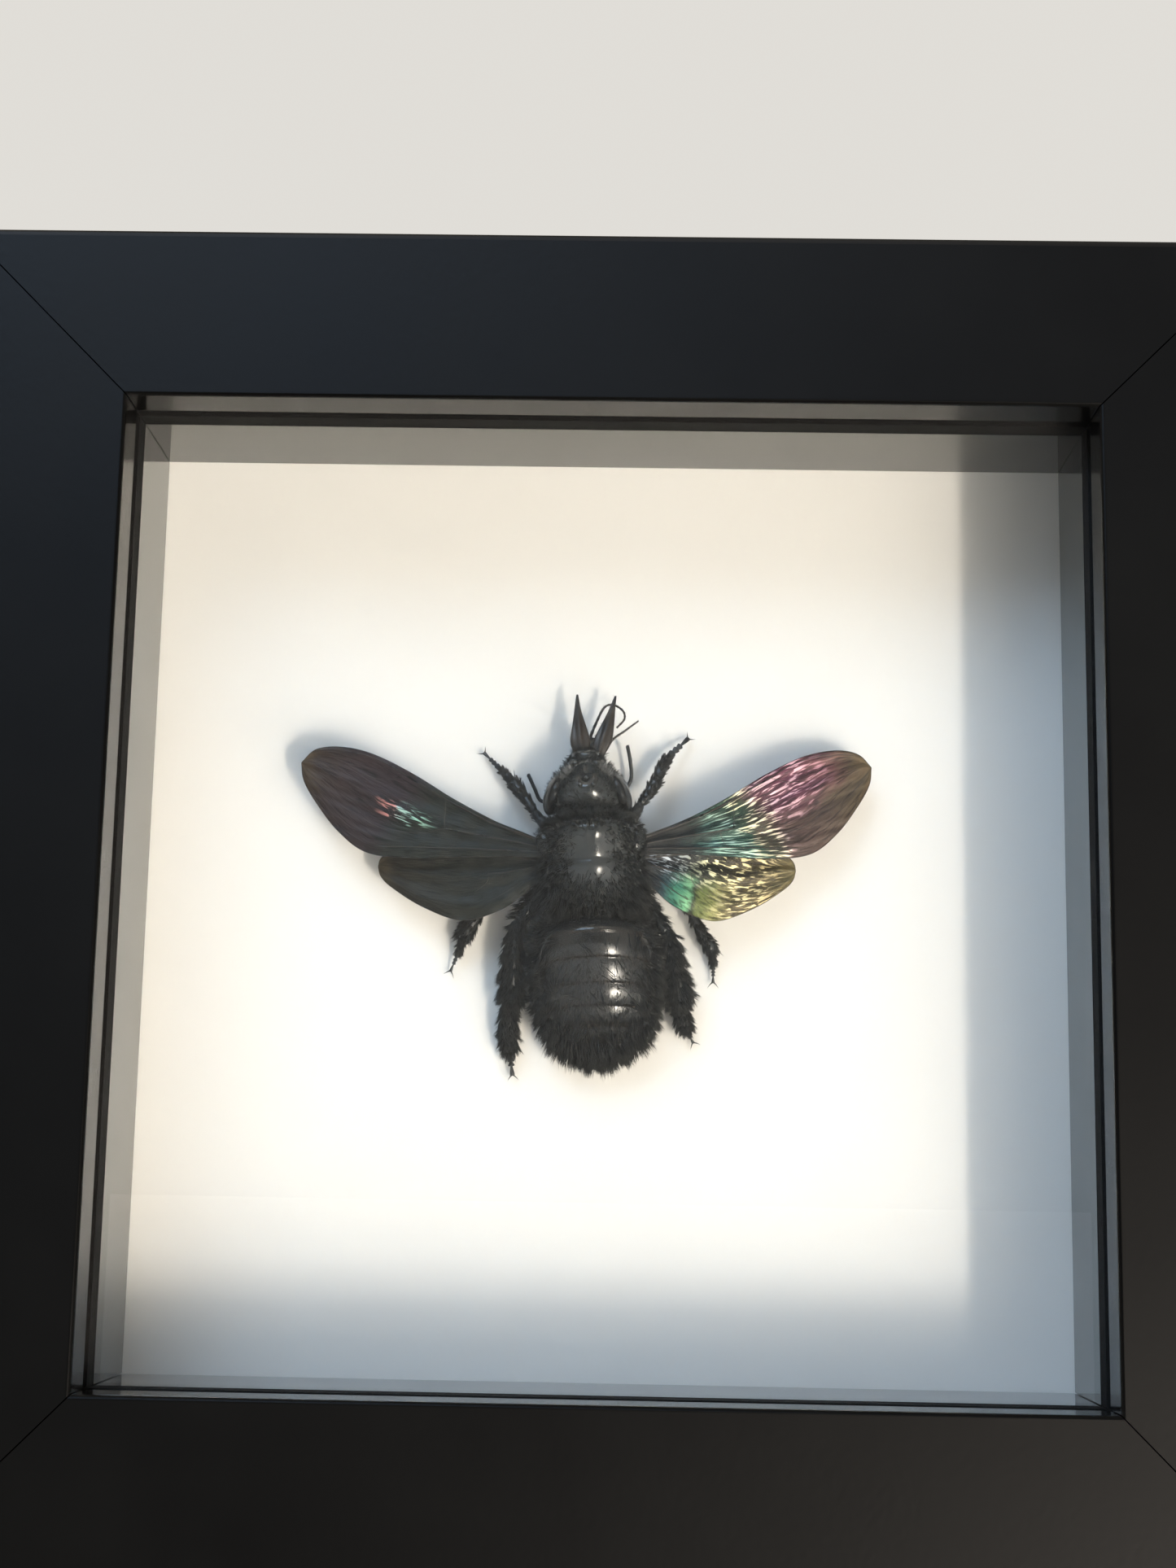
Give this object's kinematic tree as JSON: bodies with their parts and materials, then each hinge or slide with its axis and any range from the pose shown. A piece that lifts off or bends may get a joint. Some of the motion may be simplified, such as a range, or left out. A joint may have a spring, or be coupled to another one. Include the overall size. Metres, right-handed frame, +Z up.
{
  "type": "framed carpenter bee",
  "caption": "Black carpenter bee with spread wings, glued to white board inside a deep black square box frame with a glass front and a toothed hanger on its back.",
  "frame": {"origin": "on the surface the frame stands on, under the middle of its bottom rail", "axes": "+Z up the picture towards the bee's head, -Y out of the glass towards the viewer, +X to the viewer's right"},
  "size_m": [0.15, 0.035, 0.15],
  "materials": {
    "frame_black": "smooth satin black coating on wood moulding",
    "glass": "clear float glass",
    "fillet_black": "matt black spacer strip",
    "liner_black": "gloss black film-faced strip that mirrors the board at a low angle",
    "board_white": "matt white paperboard with a faint tooth",
    "panel_brown": "raw brown fibreboard",
    "steel": "bright zinc-plated steel",
    "bee_black": "glossy black shell with fine pits and black hair",
    "bee_brown": "dark brown shell, half gloss",
    "bee_wing": "dark smoky membrane that shimmers green, gold and violet"
  },
  "bodies": {
    "root": {"frame_rail_top": "frame_black", "frame_rail_bottom": "frame_black", "frame_rail_left": "frame_black", "frame_rail_right": "frame_black", "glass_pane": "glass", "black_fillet_top": "fillet_black", "black_fillet_bottom": "fillet_black", "black_fillet_left": "fillet_black", "black_fillet_right": "fillet_black", "black_liner_top": "liner_black", "black_liner_bottom": "liner_black", "black_liner_left": "liner_black", "black_liner_right": "liner_black", "white_backdrop": "board_white", "back_panel": "panel_brown", "fixing_tab_top_1": "steel", "fixing_tab_top_2": "steel", "fixing_tab_bottom_1": "steel", "fixing_tab_bottom_2": "steel", "fixing_tab_left_1": "steel", "fixing_tab_left_2": "steel", "fixing_tab_right_1": "steel", "fixing_tab_right_2": "steel", "sawtooth_hanger": "steel", "hanger_nail_left": "steel", "hanger_nail_right": "steel", "bee_head": "bee_black", "bee_thorax": "bee_black", "bee_abdomen": "bee_black", "bee_foreleg_left": "bee_black", "bee_foreleg_right": "bee_black", "bee_middle_leg_left": "bee_black", "bee_middle_leg_right": "bee_black", "bee_hind_leg_left": "bee_black", "bee_hind_leg_right": "bee_black", "bee_antenna_left": "bee_black", "bee_antenna_right": "bee_black", "bee_mouth_blade_left": "bee_brown", "bee_mouth_blade_right": "bee_brown", "bee_tongue": "bee_brown", "bee_lip_feeler": "bee_brown", "bee_forewing_left": "bee_wing", "bee_forewing_right": "bee_wing", "bee_hindwing_left": "bee_wing", "bee_hindwing_right": "bee_wing"}
  },
  "joints": []
}
